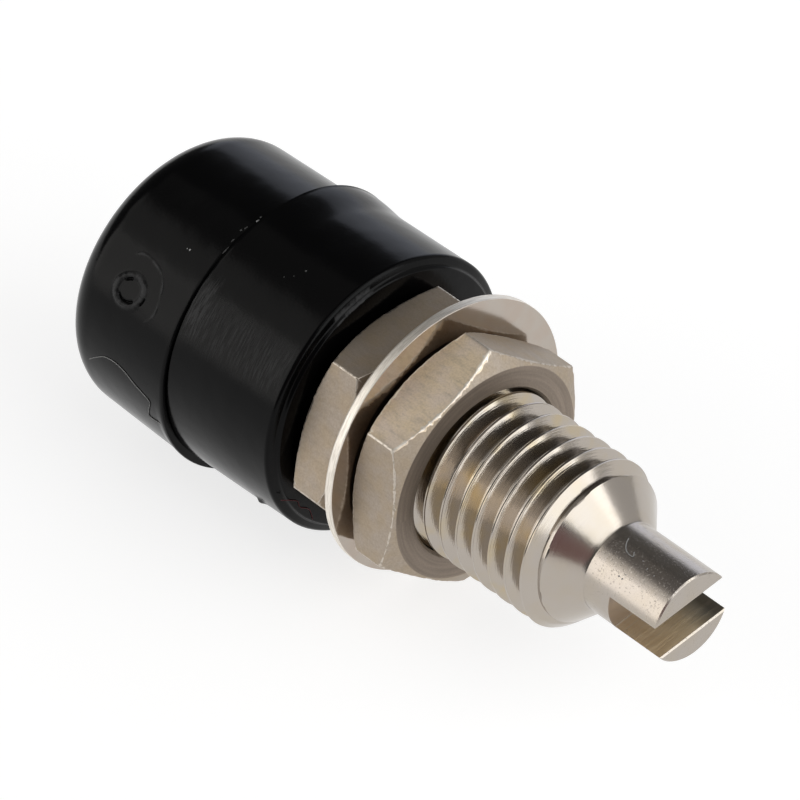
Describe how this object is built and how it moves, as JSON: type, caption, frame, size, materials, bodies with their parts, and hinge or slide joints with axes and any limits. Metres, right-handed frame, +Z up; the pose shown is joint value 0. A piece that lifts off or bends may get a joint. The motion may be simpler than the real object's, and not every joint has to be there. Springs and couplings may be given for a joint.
{
  "type": "banana socket",
  "caption": "Panel-mount banana socket: round moulded head with a blind plug bore, threaded shank carrying hexagon nuts and a washer, and a slotted solder pin.",
  "frame": {"origin": "on the axis, in the plane of the head's rear face that seats on the panel", "axes": "+X along the axis towards the solder pin, +Z up, plug enters from -X"},
  "size_m": [0.0245, 0.0104, 0.0104],
  "materials": {
    "black_moulding": "satin black moulded plastic",
    "plated_body": "bright nickel plate on turned brass",
    "plated_hardware": "satin nickel plate on brass"
  },
  "bodies": {
    "socket": {"insulating_head": "black_moulding", "socket_body": "plated_body"},
    "washer": {"washer": "plated_hardware"},
    "panel_nut": {"panel_nut": "plated_hardware"},
    "terminal_nut": {"terminal_nut": "plated_hardware"}
  },
  "joints": [
    {"name": "washer_slide", "type": "slide", "parent": "socket", "child": "washer", "axis": [1, 0, 0], "range_m": [-0.00015, 0.0048]},
    {"name": "panel_nut_turn", "type": "hinge", "parent": "washer", "child": "panel_nut", "pos_m": [0.0012, 0, 0], "axis": [1, 0, 0], "range_deg": [-72, 2304]},
    {"name": "terminal_nut_turn", "type": "hinge", "parent": "washer", "child": "terminal_nut", "pos_m": [0.0038, 0, 0], "axis": [1, 0, 0], "range_deg": [-72, 2304]}
  ],
  "couplings": [
    {"joint": "panel_nut_turn", "follows": "washer_slide", "rad_per_m": 8377.6},
    {"joint": "terminal_nut_turn", "follows": "washer_slide", "rad_per_m": 8377.6}
  ]
}
